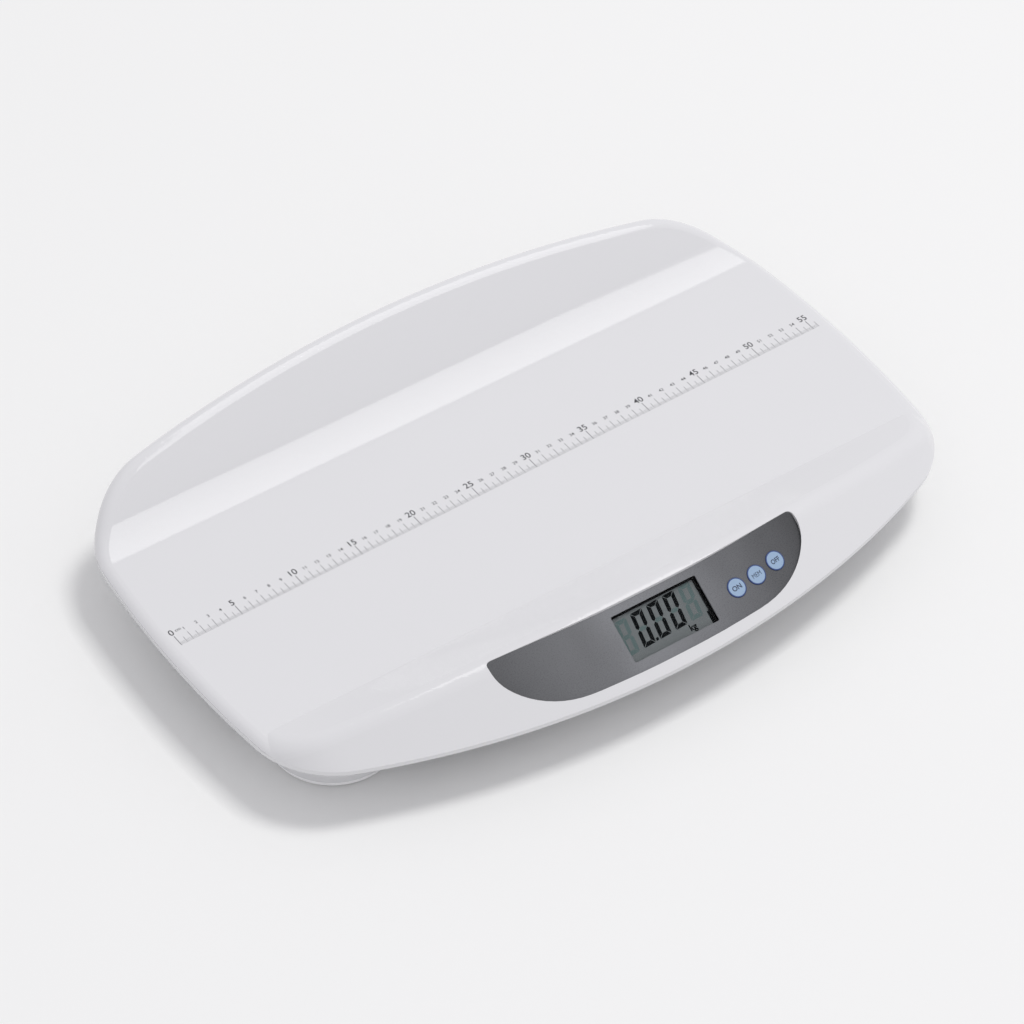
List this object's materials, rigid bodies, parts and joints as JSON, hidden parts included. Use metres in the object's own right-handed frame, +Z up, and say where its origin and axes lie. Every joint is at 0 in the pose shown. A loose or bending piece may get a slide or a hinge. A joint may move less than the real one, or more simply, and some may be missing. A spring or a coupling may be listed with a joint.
{
  "type": "digital baby weighing scale",
  "caption": "Low battery baby scale with a curved open tray, a printed ruler, a sloping display panel with push buttons, load cell feet and a sliding battery door.",
  "frame": {"origin": "centre of the overall box, on the surface that the rubber feet stand on", "axes": "+X along the tray toward the buttons' end, -Y toward the display side, +Z up"},
  "size_m": [0.5794, 0.384, 0.091],
  "materials": {
    "tray_plastic": "satin moulded shell",
    "base_plastic": "satin moulded shell",
    "panel_face": "smooth printed film",
    "window_clear": "clear flat window",
    "lcd_glass": "flat cell glass",
    "lcd_back": "grey green reflector film",
    "frame_plastic": "moulded",
    "zebra_rubber": "striped silicone",
    "board_laminate": "solder mask",
    "chip_black": "cast resin",
    "smd_parts": "ceramic and resin",
    "switch_metal": "stamped cover",
    "screw_steel": "zinc plated",
    "plug_plastic": "moulded",
    "cell_metal": "stamped plate",
    "gauge_film": "gauge film under sealant",
    "battery_sleeve": "plain printed sleeve",
    "contact_nickel": "nickel plated spring steel",
    "cable_grey": "cable sheath",
    "lead_sleeve": "wire insulation",
    "button_blue": "satin moulded cap",
    "door_plastic": "satin moulded cover",
    "foot_plastic": "moulded",
    "pad_rubber": "soft pad"
  },
  "bodies": {
    "body": {"tray_cover": "tray_plastic", "base_cover": "base_plastic", "display_panel": "panel_face", "window_lens": "window_clear", "lcd_glass": "lcd_glass", "lcd_reflector": "lcd_back", "lcd_frame": "frame_plastic", "zebra_strips": "zebra_rubber", "main_board": "board_laminate", "board_chip": "chip_black", "board_parts": "smd_parts", "tact_switches": "switch_metal", "board_screws": "screw_steel", "board_plugs": "plug_plastic", "load_cell_fl": "cell_metal", "load_cell_fr": "cell_metal", "load_cell_rl": "cell_metal", "load_cell_rr": "cell_metal", "strain_gauges": "gauge_film", "cell_screws": "screw_steel", "batteries": "battery_sleeve", "contact_springs": "contact_nickel", "contact_plates": "contact_nickel", "case_screws": "screw_steel", "cables_front": "cable_grey", "cables_rear": "cable_grey", "battery_leads": "lead_sleeve"},
    "button_on": {"button_on": "button_blue"},
    "button_memory": {"button_memory": "button_blue"},
    "button_off": {"button_off": "button_blue"},
    "foot_fl": {"foot_fl": "foot_plastic", "foot_pad_fl": "pad_rubber"},
    "foot_fr": {"foot_fr": "foot_plastic", "foot_pad_fr": "pad_rubber"},
    "foot_rl": {"foot_rl": "foot_plastic", "foot_pad_rl": "pad_rubber"},
    "foot_rr": {"foot_rr": "foot_plastic", "foot_pad_rr": "pad_rubber"},
    "battery_door": {"battery_door": "door_plastic"}
  },
  "joints": [
    {"name": "button_on_press", "type": "slide", "parent": "body", "child": "button_on", "axis": [0, 0.5299, -0.848], "range_m": [0, 0.0008], "stiffness_N_per_m": 400, "springref_m": -0.0004},
    {"name": "button_memory_press", "type": "slide", "parent": "body", "child": "button_memory", "axis": [0, 0.5299, -0.848], "range_m": [0, 0.0008], "stiffness_N_per_m": 400, "springref_m": -0.0004},
    {"name": "button_off_press", "type": "slide", "parent": "body", "child": "button_off", "axis": [0, 0.5299, -0.848], "range_m": [0, 0.0008], "stiffness_N_per_m": 400, "springref_m": -0.0004},
    {"name": "foot_fl_float", "type": "slide", "parent": "body", "child": "foot_fl", "axis": [0, 0, 1], "range_m": [0, 0.0005]},
    {"name": "foot_fr_float", "type": "slide", "parent": "body", "child": "foot_fr", "axis": [0, 0, 1], "range_m": [0, 0.0005]},
    {"name": "foot_rl_float", "type": "slide", "parent": "body", "child": "foot_rl", "axis": [0, 0, 1], "range_m": [0, 0.0005]},
    {"name": "foot_rr_float", "type": "slide", "parent": "body", "child": "foot_rr", "axis": [0, 0, 1], "range_m": [0, 0.0005]},
    {"name": "battery_door_slide", "type": "slide", "parent": "body", "child": "battery_door", "axis": [0, 1, 0], "range_m": [0, 0.055]}
  ]
}
